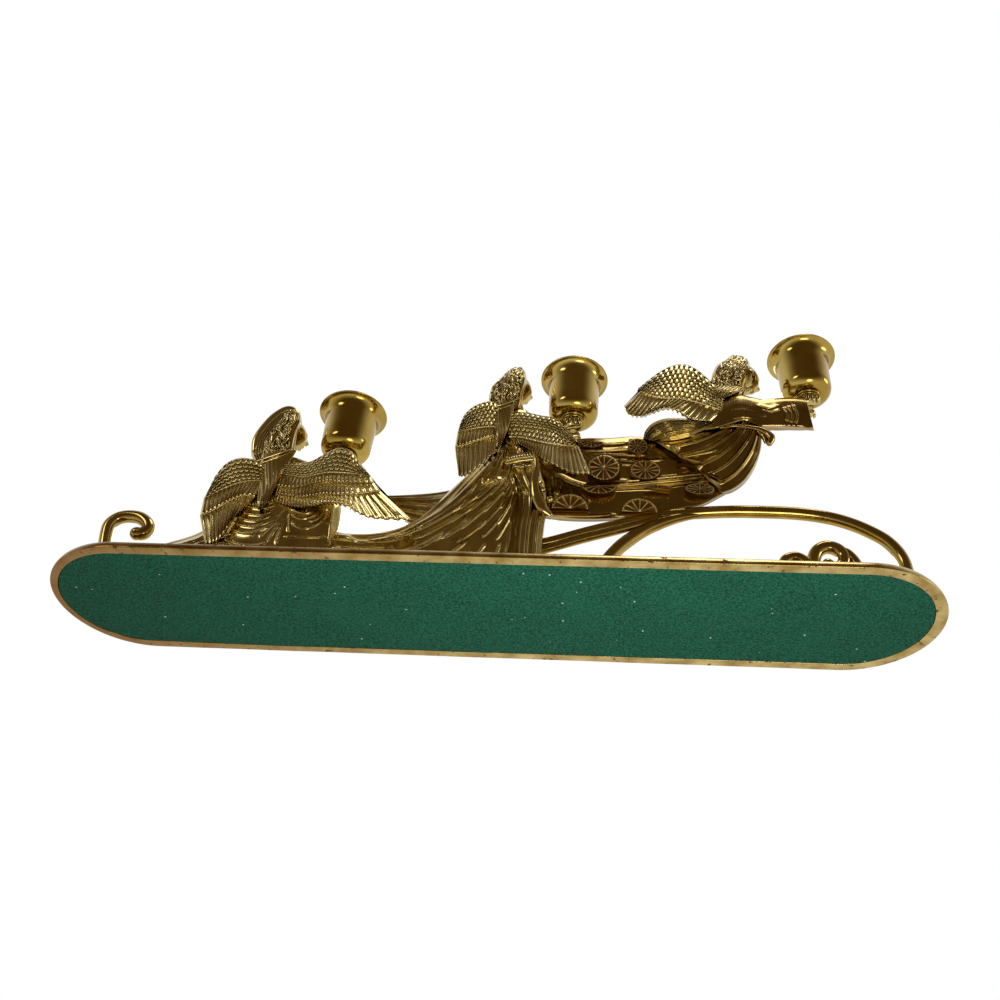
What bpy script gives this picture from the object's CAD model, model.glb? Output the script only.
# Angel candle holder: three angels in polished brass fly along a scrolled vine above a felted base.
# Places are in millimetres and mesh points in metres. Most pieces are drawn as the photograph shows them,
# as places across and up on the holder's middle plane (y = 0), each with a depth that is negative towards the viewer.
import bmesh
import bpy
import numpy as np
from mathutils import Matrix, Vector


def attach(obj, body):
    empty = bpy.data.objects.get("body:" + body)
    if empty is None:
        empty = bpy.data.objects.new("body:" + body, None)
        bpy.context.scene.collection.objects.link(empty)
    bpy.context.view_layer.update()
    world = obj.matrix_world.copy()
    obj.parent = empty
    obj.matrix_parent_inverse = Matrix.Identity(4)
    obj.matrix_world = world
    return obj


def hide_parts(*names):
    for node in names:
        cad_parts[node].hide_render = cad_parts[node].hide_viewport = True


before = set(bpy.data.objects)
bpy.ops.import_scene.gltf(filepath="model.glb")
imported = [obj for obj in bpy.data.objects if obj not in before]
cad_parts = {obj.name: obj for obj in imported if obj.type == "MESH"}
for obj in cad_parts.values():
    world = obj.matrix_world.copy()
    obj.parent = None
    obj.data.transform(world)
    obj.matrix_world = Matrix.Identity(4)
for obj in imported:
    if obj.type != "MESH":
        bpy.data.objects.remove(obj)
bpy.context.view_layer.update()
scene = bpy.context.scene
mm = 0.001

# camera
viewer = {
    "place": (40.971, -383.116, -267.994),
    "right": (0.99677704, 0.04247621, 0.06805375),
    "up": (-0.02333124, -0.65815394, 0.75252179),
    "lens": 37.53,
    "film": 36.0,
}


def addCamera():
    data = bpy.data.cameras.new("camera")
    data.lens = viewer["lens"]
    data.sensor_width = viewer["film"]
    data.sensor_height = viewer["film"]
    data.clip_end = 20
    camera = bpy.data.objects.new("camera", data)
    right, up = Vector(viewer["right"]), Vector(viewer["up"])
    turn = Matrix((right, up, right.cross(up))).transposed().to_4x4()
    camera.matrix_world = Matrix.Translation(Vector(viewer["place"]) * mm) @ turn
    scene.collection.objects.link(camera)
    scene.camera = camera


addCamera()
print("camera placed")


# materials
def linear(code):
    # sRGB hex to linear light
    value = np.array([int(code[i:i + 2], 16) for i in (1, 3, 5)]) / 255
    light = np.where(value <= 0.04045, value / 12.92, ((value + 0.055) / 1.055) ** 2.4)
    return (*light, 1.0)


def addNode(tree, kind, settings=None, inputs=None):
    # one node with its settings; an input is a value, a hex colour, an output, or a node for its first output
    node = tree.nodes.new("ShaderNode" + kind)
    for name, value in (settings or {}).items():
        setattr(node, name, value)
    for name, value in (inputs or {}).items():
        if isinstance(value, bpy.types.Node):
            value = value.outputs[0]
        if isinstance(value, bpy.types.NodeSocket):
            tree.links.new(value, node.inputs[name])
        else:
            node.inputs[name].default_value = linear(value) if isinstance(value, str) else value
    return node


def newTree(name):
    material = bpy.data.materials.new(name)
    material.use_nodes = True
    material.node_tree.nodes.clear()
    return material, material.node_tree


colours = {"data_type": "RGBA"}


def brass(name, look):
    # Plated brass over a casting: a yellow metal that is near a mirror, with a faint ripple left by the
    # mould, thin brown tarnish where the polishing wheel didn't reach, and brown spots where the plate wore.
    # Lengths in the look are in millimetres.
    material, tree = newTree(name)
    place = addNode(tree, "TexCoord").outputs["Object"]
    cloud = addNode(tree, "TexNoise", inputs={
        "Vector": place, "Scale": 1 / (look["cloud"] * mm), "Detail": 3, "Roughness": 0.55})
    shade = addNode(tree, "MapRange", inputs={"Value": cloud, "From Min": 0.35, "From Max": 0.65})
    colour = addNode(tree, "Mix", colours, {"Factor": shade, 6: look["dark"], 7: look["light"]}).outputs[2]
    hollow = addNode(tree, "AmbientOcclusion", {"samples": 6}, {"Distance": look["reach"] * mm})
    grime = addNode(tree, "MapRange", inputs={
        "Value": hollow.outputs["AO"], "From Min": look["grimeLow"], "From Max": look["grimeHigh"],
        "To Min": 1.0, "To Max": 0.0})
    colour = addNode(tree, "Mix", colours, {"Factor": grime, 6: colour, 7: look["grime"]}).outputs[2]
    speck = addNode(tree, "TexNoise", inputs={
        "Vector": place, "Scale": 1 / (look["spot"] * mm), "Detail": 4, "Roughness": 0.6})
    spots = addNode(tree, "MapRange", inputs={
        "Value": speck, "From Min": look["spotLow"], "From Max": look["spotLow"] + 0.05})
    colour = addNode(tree, "Mix", colours, {"Factor": spots, 6: colour, 7: look["rust"]}).outputs[2]
    if "patina" in look:
        distance = addNode(tree, "SeparateXYZ", inputs={"Vector": place}).outputs[look["axis"]]
        worn = addNode(tree, "MapRange", inputs={
            "Value": distance, "From Min": look["patinaFrom"] * mm, "From Max": look["patinaTo"] * mm,
            "To Min": look["worn"], "To Max": 0.0})
        colour = addNode(tree, "Mix", colours, {"Factor": worn, 6: colour, 7: look["patina"]}).outputs[2]
    rough = addNode(tree, "MapRange", inputs={
        "Value": cloud, "From Min": 0.3, "From Max": 0.7, "To Min": look["smooth"], "To Max": look["dull"]})
    rougher = addNode(tree, "Math", {"operation": "MULTIPLY_ADD", "use_clamp": True}, {0: spots, 1: 0.35, 2: rough})
    ripple = addNode(tree, "TexNoise", inputs={
        "Vector": place, "Scale": 1 / (look["ripple"] * mm), "Detail": 2, "Roughness": 0.5})
    bump = addNode(tree, "Bump", inputs={
        "Height": ripple, "Strength": look["bump"], "Distance": look["depth"] * mm})
    shader = addNode(tree, "BsdfPrincipled", inputs={
        "Base Color": colour, "Metallic": 1.0, "Roughness": rougher, "Normal": bump})
    addNode(tree, "OutputMaterial", inputs={"Surface": shader})
    return material


castLook = {
    "dark": "#b49e5e", "light": "#cfba7c", "grime": "#4c3814", "rust": "#4a2c0c",
    "cloud": 14.0, "reach": 2.0, "grimeLow": 0.1, "grimeHigh": 0.7,
    "spot": 2.2, "spotLow": 0.78, "smooth": 0.1, "dull": 0.2,
    "ripple": 6.0, "bump": 0.16, "depth": 0.3,
}
turnedLook = dict(castLook, dark="#a88a3c", light="#c4a858", cloud=25.0, reach=8.0, grimeHigh=0.7,
                  smooth=0.12, dull=0.18, ripple=12.0, bump=0.2)
rodLook = dict(castLook, dark="#9a7f3a", light="#bca25a", cloud=18.0, reach=4.0, grimeHigh=0.7,
               smooth=0.1, dull=0.16, ripple=9.0, bump=0.25)
# the base plate has lost some plate along its edge, which shows as brown blots, and is tarnished
# brown towards its left end
plateLook = dict(castLook, dark="#a48644", light="#d6bc7a", cloud=12.0, spot=4.0, spotLow=0.61,
                 rust="#664a34", grimeHigh=0.6, smooth=0.16, dull=0.3,
                 patina="#7c5220", worn=0.85, axis="X", patinaFrom=-190, patinaTo=20)
# the medallions are satin on their raised spokes and tarnished on the ground between them
wheelLook = dict(castLook, dark="#ecd48c", light="#fbe8b0", reach=1.0, grimeHigh=0.3, smooth=0.34, dull=0.4,
                 patina="#846226", worn=1.0, axis="Y", patinaFrom=-5.6, patinaTo=-6.5)
# the robes of the upper angel are tarnished evenly, browner than the polished wings and hair
robeLook = dict(castLook, dark="#94783c", light="#b09655")
# wings and hair stand out furthest, so the wheel polished them palest and cleared more of their hollows
wingLook = dict(castLook, dark="#bea96a", light="#dcc88c", reach=1.3, grimeHigh=0.55, smooth=0.08, dull=0.16)
wheelBrass = brass("wheelBrass", wheelLook)
robeBrass = brass("robeBrass", robeLook)
wingBrass = brass("wingBrass", wingLook)
castBrass = brass("castBrass", castLook)
turnedBrass = brass("turnedBrass", turnedLook)
rodBrass = brass("rodBrass", rodLook)
plateBrass = brass("plateBrass", plateLook)

feltLook = {
    "dark": "#06281a", "light": "#0b3b29", "nap": "#25664c", "lint": "#c4d6c8",
    # millimetres: a fibre is 0.03 thick, so fibres are drawn as tufts of 1.1 that let the nap show
    "cloud": 28, "tuft": 1.1, "lintGap": 6, "depth": 0.15,
}


def felt(name, look):
    # Pressed wool felt, dyed dark green: matt, with a nap that catches light at a slant, clouded where it
    # has been handled, and flecked with pale lint about half a millimetre across.
    material, tree = newTree(name)
    place = addNode(tree, "TexCoord").outputs["Object"]
    cloud = addNode(tree, "TexNoise", inputs={
        "Vector": place, "Scale": 1 / (look["cloud"] * mm), "Detail": 5, "Roughness": 0.6})
    shade = addNode(tree, "MapRange", inputs={"Value": cloud, "From Min": 0.35, "From Max": 0.68})
    colour = addNode(tree, "Mix", colours, {"Factor": shade, 6: look["dark"], 7: look["light"]}).outputs[2]
    fibre = addNode(tree, "TexNoise", inputs={
        "Vector": place, "Scale": 1 / (look["tuft"] * mm), "Detail": 5, "Roughness": 0.8})
    nap = addNode(tree, "MapRange", inputs={"Value": fibre, "From Min": 0.4, "From Max": 0.62, "To Max": 1.0})
    colour = addNode(tree, "Mix", colours, {"Factor": nap, 6: colour, 7: look["nap"]}).outputs[2]
    lint = addNode(tree, "TexVoronoi", inputs={
        "Vector": place, "Scale": 1 / (look["lintGap"] * mm), "Randomness": 1.0})
    fleck = addNode(tree, "MapRange", inputs={
        "Value": lint.outputs["Distance"], "From Min": 0.04, "From Max": 0.09, "To Min": 1.0, "To Max": 0.0})
    pick = addNode(tree, "SeparateColor", inputs={"Color": lint.outputs["Color"]})
    some = addNode(tree, "Math", {"operation": "GREATER_THAN"}, {0: pick, 1: 0.66})
    both = addNode(tree, "Math", {"operation": "MULTIPLY"}, {0: fleck, 1: some})
    colour = addNode(tree, "Mix", colours, {"Factor": both, 6: colour, 7: look["lint"]}).outputs[2]
    bump = addNode(tree, "Bump", inputs={"Height": fibre, "Strength": 0.5, "Distance": look["depth"] * mm})
    shader = addNode(tree, "BsdfPrincipled", inputs={
        "Base Color": colour, "Roughness": 0.95, "Specular IOR Level": 0.2, "Sheen Weight": 0.06,
        "Sheen Roughness": 0.5, "Normal": bump})
    addNode(tree, "OutputMaterial", inputs={"Surface": shader})
    return material


def steel(name):
    # Zinc-plated steel screws: a grey metal with a fine satin grain of 0.8 mm.
    material, tree = newTree(name)
    place = addNode(tree, "TexCoord").outputs["Object"]
    grain = addNode(tree, "TexNoise", inputs={"Vector": place, "Scale": 1 / (0.8 * mm), "Detail": 2})
    colour = addNode(tree, "Mix", colours, {"Factor": grain, 6: "#8d8f92", 7: "#b4b6b8"}).outputs[2]
    shader = addNode(tree, "BsdfPrincipled", inputs={"Base Color": colour, "Metallic": 1.0, "Roughness": 0.38})
    addNode(tree, "OutputMaterial", inputs={"Surface": shader})
    return material


greenFelt = felt("greenFelt", feltLook)
screwSteel = steel("screwSteel")
print("materials made")


# shapes
def shared(points, share):
    # a smooth line through hand-placed points, by share of their count: 0 is the first point and 1 the last
    # (Catmull-Rom cubic)
    last = len(points) - 1
    p = np.asarray(points, float)
    p = np.concatenate([2 * p[:1] - p[1:2], p, 2 * p[-1:] - p[-2:-1]])
    t = np.clip(np.asarray(share, float) * last, 0, last)
    i = np.minimum(t.astype(int), last - 1)
    f = (t - i)[..., None]
    a, b, c, d = p[i], p[i + 1], p[i + 2], p[i + 3]
    return 0.5 * (2 * b + (c - a) * f + (2 * a - 5 * b + 4 * c - d) * f**2 + (3 * b - a - 3 * c + d) * f**3)


def along(values, share):
    # the value of an evenly spread list at a share of its length
    return np.interp(share, np.linspace(0, 1, len(values)), values)


def alongSight(across, up, depth, shift=None):
    # slides places read on the middle plane along the line of sight to their own depth
    near = (depth if shift is None else shift) / -viewer["place"][1]
    x = across + (across - viewer["place"][0]) * near
    z = up + (up - viewer["place"][2]) * near
    return np.stack(np.broadcast_arrays(x, depth, z), -1)


def skins(grids):
    # every grid (piece, row, column, xyz) is a skin closed round its columns, with a pole over each end row
    grids = np.asarray(grids, float)
    grids = grids[None] if grids.ndim == 3 else grids
    pieces, rows, columns, _ = grids.shape
    poles = np.stack([grids[:, 0].mean(1), grids[:, -1].mean(1)], 1)
    points = np.concatenate([grids.reshape(pieces, -1, 3), poles], 1)
    row, column = np.meshgrid(np.arange(rows - 1), np.arange(columns), indexing="ij")
    after = (column + 1) % columns
    quads = np.stack([row * columns + column, row * columns + after,
                      (row + 1) * columns + after, (row + 1) * columns + column], -1).reshape(-1, 4)
    column, after, last = np.arange(columns), np.roll(np.arange(columns), -1), (rows - 1) * columns
    first = np.stack([after, column, np.full(columns, rows * columns)], -1)
    final = np.stack([last + column, last + after, np.full(columns, rows * columns + 1)], -1)
    step = (np.arange(pieces) * points.shape[1])[:, None, None]
    return points.reshape(-1, 3), (quads + step).reshape(-1, 4), (np.concatenate([first, final]) + step).reshape(-1, 3)


def addPiece(name, parts, material, slot, *nodes):
    # joins the closed skins into one piece, turns their faces outwards, and puts it in its CAD node's place
    points, quads, threes, count = [], [], [], 0
    for part in parts:
        own, four, three = skins(part)
        points.append(own)
        quads.append(four + count)
        threes.append(three + count)
        count += len(own)
    points, quads, threes = np.concatenate(points) * mm, np.concatenate(quads), np.concatenate(threes)
    mesh = bpy.data.meshes.new(name)
    mesh.vertices.add(len(points))
    mesh.vertices.foreach_set("co", points.ravel())
    corners = np.concatenate([quads.ravel(), threes.ravel()])
    sizes = np.concatenate([np.full(len(quads), 4), np.full(len(threes), 3)])
    mesh.loops.add(len(corners))
    mesh.loops.foreach_set("vertex_index", corners.astype(np.int32))
    mesh.polygons.add(len(sizes))
    mesh.polygons.foreach_set("loop_start", (np.cumsum(sizes) - sizes).astype(np.int32))
    mesh.update(calc_edges=True)
    shell = bmesh.new()
    shell.from_mesh(mesh)
    bmesh.ops.recalc_face_normals(shell, faces=shell.faces)
    shell.to_mesh(mesh)
    shell.free()
    mesh.polygons.foreach_set("use_smooth", np.ones(len(sizes), bool))
    mesh.materials.append(material)
    piece = bpy.data.objects.new(name, mesh)
    scene.collection.objects.link(piece)
    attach(piece, "root")
    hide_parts(*nodes)


def rods(paths, radii, sides, count, flat=1.0):
    # round rods: circles carried along smooth lines, whose radii run through the list, with round ends.
    # paths is (rod, point, xyz) in real places; flat squeezes the circle from front to back.
    paths = np.asarray(paths, float)
    paths = paths[None] if paths.ndim == 2 else paths
    share = np.linspace(0, 1, count)
    line = np.stack([shared(path, share) for path in paths])
    radius = along(radii, share)
    ahead = np.gradient(line, axis=1)
    ahead /= np.linalg.norm(ahead, axis=-1, keepdims=True)
    turn = np.radians([86, 60, 35, 15])
    start = line[:, :1] - ahead[:, :1] * (radius[0] * np.sin(turn))[None, :, None]
    end = line[:, -1:] + ahead[:, -1:] * (radius[-1] * np.sin(turn[::-1]))[None, :, None]
    line = np.concatenate([start, line, end], 1)
    ahead = np.concatenate([ahead[:, :1].repeat(len(turn), 1), ahead, ahead[:, -1:].repeat(len(turn), 1)], 1)
    radius = np.concatenate([radius[0] * np.cos(turn), radius, radius[-1] * np.cos(turn[::-1])])
    side = np.cross(ahead, (0.03, 1.0, 0.06))
    side /= np.linalg.norm(side, axis=-1, keepdims=True)
    over = np.cross(side, ahead)
    angle = np.linspace(0, 2 * np.pi, sides, endpoint=False)
    around = side[:, :, None] * np.cos(angle)[:, None] + over[:, :, None] * (flat * np.sin(angle))[:, None]
    return line[:, :, None] + around * radius[None, :, None, None]


def cord(path, depth, radii, sides, count, flat=1.0):
    # a rod along places of the middle plane, slid to its depth, which is one value or a value for each place
    path = np.asarray(path, float)
    return rods([alongSight(path[:, 0], path[:, 1], np.asarray(depth, float))], radii, sides, count, flat)


def balls(places, radii, sides=10):
    # small round beads at real places
    places, radii = np.asarray(places, float), np.asarray(radii, float)
    tilt = np.linspace(0.12, np.pi - 0.12, 7)[:, None]
    angle = np.linspace(0, 2 * np.pi, sides, endpoint=False)[None]
    unit = np.stack(np.broadcast_arrays(np.sin(tilt) * np.cos(angle), np.sin(tilt) * np.sin(angle), np.cos(tilt)), -1)
    return places[:, None, None] + unit * radii[:, None, None, None]


def turned(outline, x, z, columns=96):
    # a lathe-turned ring: a closed outline of radius and height carried round an upright axis; the outline
    # runs along the rows and is closed by its poles, so a hollow one starts and ends on the same point
    outline = np.asarray(outline, float)
    angle = np.linspace(0, 2 * np.pi, columns, endpoint=False)
    radius, height = outline[:, :1], outline[:, 1:]
    return np.stack(np.broadcast_arrays(x + radius * np.cos(angle), radius * np.sin(angle), z + height), -1)


def crease(share, places, sharp):
    # 1 on each fold's crest and 0 in the hollow between two, with sharp crests and round hollows
    phase = np.interp(share, places, np.arange(len(places)))
    return (1 - np.abs(np.sin(np.pi * phase))) ** sharp


def ridges(across, up, lines):
    # The height of fold crests. Each line is the crest's height, its width and then its places; the height falls
    # away from the line as exp(-distance / width), and to nothing over an eighth of the line at both its ends.
    height = np.zeros_like(across)
    for tall, width, *path in lines:
        path = shared(path, np.linspace(0, 1, 10 * len(path)))
        start, run = path[:-1], np.diff(path, axis=0)
        x, z = across[..., None] - start[:, 0], up[..., None] - start[:, 1]
        part = np.clip((x * run[:, 0] + z * run[:, 1]) / (run**2).sum(-1), 0, 1)
        gap = np.hypot(x - part * run[:, 0], z - part * run[:, 1])
        place = (gap.argmin(-1) + 0.5) / len(start)
        fade = np.minimum(1, np.minimum(place, 1 - place) / 0.12)
        height = np.maximum(height, tall * fade * np.exp(-gap.min(-1) / width))
    return height


def cloth(piece):
    # Cast drapery: at each place down the piece its section runs from the left edge line to the right one and
    # back, a flattened oval, and folds stand out of it. left and right are lines of places; middle and half
    # give the section's depth, and back its half towards the back where that differs; folds are shares across,
    # or how many even ones; lines are single crests; short cuts the hem back, and floor cuts the piece off level.
    rows, columns = piece["grid"]
    down = np.linspace(0, 1, rows)[:, None]
    # seven tenths of the columns are on the front
    front = int(columns * 0.7)
    run = np.concatenate([np.linspace(0, 1, front, endpoint=False),
                          np.linspace(1, 2, columns - front, endpoint=False)])[None]
    share = 0.5 * (1 - np.abs(1 - run)) + 0.25 * (1 - np.cos(np.pi * run))
    side = np.sign(1 - run + 1e-9) * 2 * np.sqrt(np.clip(share * (1 - share), 0, 1))
    if "short" in piece:
        down = down * (1 - np.interp(share, *piece["short"]))
    down, share, side = np.broadcast_arrays(down, share, side)
    left, right = shared(piece["left"], down), shared(piece["right"], down)
    place = left + (right - left) * share[..., None]
    middle, half = along(piece["middle"], down), along(piece["half"], down)
    if "back" in piece:
        half = np.where(side < 0, along(piece["back"], down), half)
    bulge = np.abs(side) ** piece.get("power", 0.6)
    drift = piece.get("drift", 0.0) * np.sin(down * 5 + piece.get("phase", 0.0))
    folds = piece["folds"]
    folds = np.linspace(0, 1, folds + 1) if isinstance(folds, int) else folds
    crests = crease(share + drift * share * (1 - share), folds, piece.get("sharp", 1.0)) - 0.35
    height = piece["relief"] * crests * np.minimum(1, along(piece.get("fade", (1, 1)), down))
    if "lines" in piece:
        height = height + ridges(place[..., 0], place[..., 1], piece["lines"])
    depth = middle - np.sign(side) * (half * bulge + height * np.minimum(1, np.abs(side) * 2.5))
    skin = alongSight(place[..., 0], place[..., 1], depth, np.minimum(depth, middle))
    if "floor" in piece:
        skin[..., 2] = np.maximum(skin[..., 2], piece["floor"])
    return skin


def plumage(u, f, rows, count, look):
    # The height of one band of feathers. u runs along the wing and f from the band's upper line to its lower one.
    # A feather rises from root to tip, is domed across and has a quill and a bead at its tip; its tip is a
    # parabola that hangs over the next row, whose feathers are set half a width aside.
    row = np.minimum(np.floor(f * rows), rows - 1)
    height = np.zeros_like(u)
    taken = np.zeros_like(u, bool)
    for step in (-1, 0, 1):
        order = row + step
        feather = u * count + 0.5 * np.mod(order, 2)
        across = np.mod(feather, 1.0) - 0.5
        # 0 on the quill and 1 at the feather's edges
        aside = (2 * across) ** 2
        down = f * rows - order
        inside = ~taken & (down < 1 + look["hang"] - look["curve"] * aside)
        if rows == 1:
            inside &= order >= 0
        share = np.clip(down / (1 + look["hang"]), 0, 1)
        dome = look["dome"] * (1 - aside)
        quill = look["quill"] * np.exp(-(across / 0.09) ** 2)
        # a fixed number from 0 to 1 for each feather, from a sine's far digits, so that no two lie alike
        own = np.mod(np.sin(np.floor(feather) * 12.9898 + order * 78.233) * 43758.5453, 1.0)
        bead = look["bead"] * np.exp(-((share - 0.93) / 0.05) ** 2) * (1 - aside)
        lift = look["lift"] * share * (0.75 + 0.5 * own)
        height = np.where(inside, lift + (dome + quill + bead) * np.minimum(1, 0.35 + share), height)
        taken |= inside
    return height


scaleLook = {"hang": 0.25, "curve": 0.3, "lift": 0.95, "dome": 0.45, "quill": 0.0, "bead": 0.5}
longLook = {"hang": 0.04, "curve": 0.08, "lift": 0.6, "dome": 0.55, "quill": 0.35, "bead": 0.7}


def wing(piece):
    # A wing: one closed slab with feathers in relief on both faces. lines run from the body outwards, from the
    # leading edge to the feather tips; bands give how many rows lie between two lines and how many feathers are
    # in each; scallop rounds the tips of the last band.
    lines, bands = piece["lines"], piece["bands"]
    thickness, rounding = 1.4, 1.4
    u = np.linspace(0, 1, piece.get("columns", 240))
    faces = []
    for front in (True, False):
        # steps down each row of scales and down a band of long feathers; the back is drawn more plainly
        scaleSteps, longSteps = (7, 26) if front else (4, 12)
        grid, heights = [], []
        for number, (rows, count) in enumerate(bands):
            last = number == len(bands) - 1
            f = np.linspace(0, 1, rows * (scaleSteps if rows > 1 else longSteps), endpoint=last)
            outward, down = np.meshgrid(u, f, indexing="ij")
            heights.append(plumage(outward, np.minimum(down, 0.999), rows, count, scaleLook if rows > 1 else longLook))
            if last:
                across = np.mod(u * count, 1.0)[:, None] - 0.5
                down = down * (1 + piece.get("scallop", 0.06) * (0.5 - (2 * across) ** 2) * (down > 0.5))
            upper, lower = shared(lines[number], u)[:, None], shared(lines[number + 1], u)[:, None]
            grid.append(upper + (lower - upper) * down[..., None])
        place, height = np.concatenate(grid, 1), np.concatenate(heights, 1)
        # the slab thins to its rim as a quarter circle: sqrt(inward * (2 - inward))
        span = np.cumsum(np.linalg.norm(np.diff(place, axis=1, prepend=place[:, :1]), axis=-1), 1)
        rim = np.minimum(span, span[:, -1:] - span)
        rim = np.minimum(rim, np.minimum(u, 1 - u)[:, None] * 60)
        inward = np.clip(rim / rounding, 0, 1)
        thick = np.sqrt(inward * (2 - inward))
        middle = along(piece["depth"], u)[:, None]
        full = middle - (1 if front else -1) * (thickness / 2 + height) * thick
        face = alongSight(place[..., 0], place[..., 1], full, np.minimum(full, middle))
        faces.append(face if front else face[:, -2:0:-1])
    return np.concatenate(faces, 1)


print("shapes ready")

# base
base = {
    "length": 400.0, "width": 77.9, "shift": 0.2, "thick": 4.0, "edge": 0.35, "side": 5.5, "pocket": 1.6, "gap": 0.2,
    # the rim's width, ground unevenly, at shares of the way round from the front right corner by the right end
    "around": [0, 0.07, 0.138, 0.32, 0.45, 0.5, 0.535, 0.57, 0.605, 0.64, 0.82, 1],
    "rim": [4.9, 5.2, 5.0, 4.4, 4.2, 4.9, 3.2, 3.1, 4.2, 4.9, 4.9, 4.9],
}
# rods and robes run a tenth of a millimetre into the plate
plateTop = base["thick"] - 0.1


def stadiumRings(profile, inner):
    # A profile of inset and height carried round the round-ended plate. The inset of its first points, inner of
    # them, counts from the rim's inner edge, so the rim's uneven width is added, and fades out over 20 mm.
    ends, sides = 49, 58
    turn = np.linspace(-np.pi / 2, np.pi / 2, ends)
    run = np.linspace(1, -1, sides + 2)[1:-1]
    half, bend = (base["length"] - base["width"]) / 2, base["width"] / 2
    centre = np.concatenate([np.full(ends, half), run * half, np.full(ends, -half), -run * half])
    angle = np.concatenate([turn, np.full(sides, np.pi / 2), turn + np.pi, np.full(sides, -np.pi / 2)])
    outer = np.stack([centre + bend * np.cos(angle), bend * np.sin(angle)], -1)
    run = np.cumsum(np.linalg.norm(outer - np.roll(outer, 1, 0), axis=-1))
    rim = np.interp((run - run[0]) / run[-1], base["around"], base["rim"])
    inset, height = np.asarray(profile, float).T[:, :, None]
    inset = inset + rim * (np.arange(len(profile)) < inner)[:, None] * np.clip(1 - inset / 20, 0, 1)
    radius = bend - inset
    x, y = centre + radius * np.cos(angle), base["shift"] + radius * np.sin(angle)
    return np.stack(np.broadcast_arrays(x, y, height), -1)


def arc(centre, radius, start, end, count):
    # points of an arc, as (inset or radius, height)
    angle = np.radians(np.linspace(start, end, count))
    return np.stack([centre[0] + radius * np.cos(angle), centre[1] + radius * np.sin(angle)], -1)


deep = base["width"] / 2 - 0.4
edge = base["edge"]
pocket = np.concatenate([[(deep, base["pocket"]), (0.3, base["pocket"]), (0, base["pocket"] - 0.05), (0, 0.4)],
                         arc((-0.35, 0.4), 0.35, 0, -90, 5)[1:]])
# the side leans inwards on one long curve, above a sharp lower edge
outer = np.concatenate([
    arc((edge, edge), edge, 270, 180, 6), arc((base["side"], edge), base["side"], 180, 141, 9)[1:],
    [(1.7, base["thick"]), (deep, base["thick"])]])
plate = stadiumRings(np.concatenate([pocket, outer]), len(pocket))
# the rim was ground by hand, so its face waves by a tenth of a millimetre
low = plate[..., 2] < 0.6
x, y = plate[..., 0], plate[..., 1]
plate[..., 2] += low * 0.05 * (1 + np.sin(x * 0.11) * np.sin(x * 0.037 + y * 0.05))
addPiece("basePlate", [plate], plateBrass, "plate_brass", "base_plate")

# the felt lies in the pocket, its face 0.15 mm off the table, and swells by a tenth of a millimetre
gap = base["gap"]
feltProfile = np.concatenate([
    np.stack([np.linspace(deep, gap + 0.8, 44), np.full(44, 0.15)], -1), arc((gap + 0.5, 0.65), 0.5, 270, 180, 5),
    [(gap, 1.45), (gap + 0.3, 1.55), (deep, 1.55)]])
pad = stadiumRings(feltProfile, len(feltProfile))
x, y = pad[..., 0], pad[..., 1]
swell = np.sin(x * 0.09 + 2 * np.sin(y * 0.07)) * np.sin(y * 0.13 + x * 0.03) + 0.5 * np.sin(x * 0.31) * np.sin(y * 0.4)
pad[..., 2] += 0.05 * (swell + 1) * (pad[..., 2] < 0.6) * np.clip((np.abs(y) - 1.5) / 6, 0, 1)
addPiece("baseFelt", [pad], greenFelt, "green_felt", "base_felt")
print("base made")

# vine and scrolls
vine = {
    "arch": [(-69, 5.9), (-43.2, 9.8), (-20, 19.6), (0.7, 30.8), (17, 37), (30, 41.4), (43.2, 46.4), (54, 50.1),
             (66, 54), (78, 57.5), (90, 59.6), (102, 61), (114, 61.9), (126.5, 62.1), (136, 62), (145.3, 61.5),
             (154.5, 60.2), (163.4, 57.8), (172, 53.9), (180.2, 48.4), (184.3, 44), (187.4, 38.3), (188.8, 31.5),
             (188.3, 22), (184.6, 14), (176.1, 8.2), (163.2, 5.9)],
    "archRadii": [2.2, 2.5, 2.9, 3.1, 3.1, 2.95, 2.8],
    "stem": [(34.2, 6.5), (43.2, 13.2), (49.5, 22.8), (55.5, 32.3), (60, 38.2), (65, 43.2), (71.5, 48.6), (80, 53.6),
             (90, 57.4), (101, 59.8)],
    "stemRadii": [3.0, 3.2, 3.3, 3.0, 1.5],
    "strand": [(-17.9, 15.8), (2.5, 26.4), (17, 32), (28, 36.2), (42, 41.8), (55, 46.4), (66, 50.4), (80, 55.8)],
    "strandRadii": [1.3, 1.9, 2.2, 2.2, 1.8],
    "largeCurl": [(163.2, 6.5), (157, 8.3), (152, 13), (149.2, 19.5), (148, 27), (148.2, 33.6), (150.4, 38.8),
                  (154.8, 41.5), (159.6, 40.2), (161.9, 36), (160.8, 31.5), (157, 29.4), (154.2, 31.5)],
    "largeRadii": [2.9, 3.1, 3.2, 3.1, 2.8],
    "leaf": [(169.8, 6.5), (170.2, 14), (169.2, 24), (167, 32.5), (164, 38.2), (160, 40.8)],
    "leafRadii": [2.4, 2.5, 2.4, 1.7],
    "smallCurl": [(152.4, 11.9), (149.6, 17), (148.4, 23), (147.2, 29), (144.4, 32.8), (140, 35.2), (135.6, 33.4),
                  (134.4, 29.5), (136.6, 25.8), (141, 25.6), (142.5, 28.6)],
    "smallRadii": [2.2, 2.6, 2.6],
    "hook": [(-164.5, 7), (-171.9, 8), (-179.5, 13), (-184.3, 22), (-186.6, 31), (-188, 38.1), (-188.2, 43.7),
             (-185.4, 47.8), (-180.8, 49.4), (-174.8, 48.8), (-170.2, 45.8), (-168.2, 42), (-169.8, 39), (-173, 38.8)],
    "hookRadii": [2.8, 3.0, 3.1, 3.2, 3.2],
}


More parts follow.
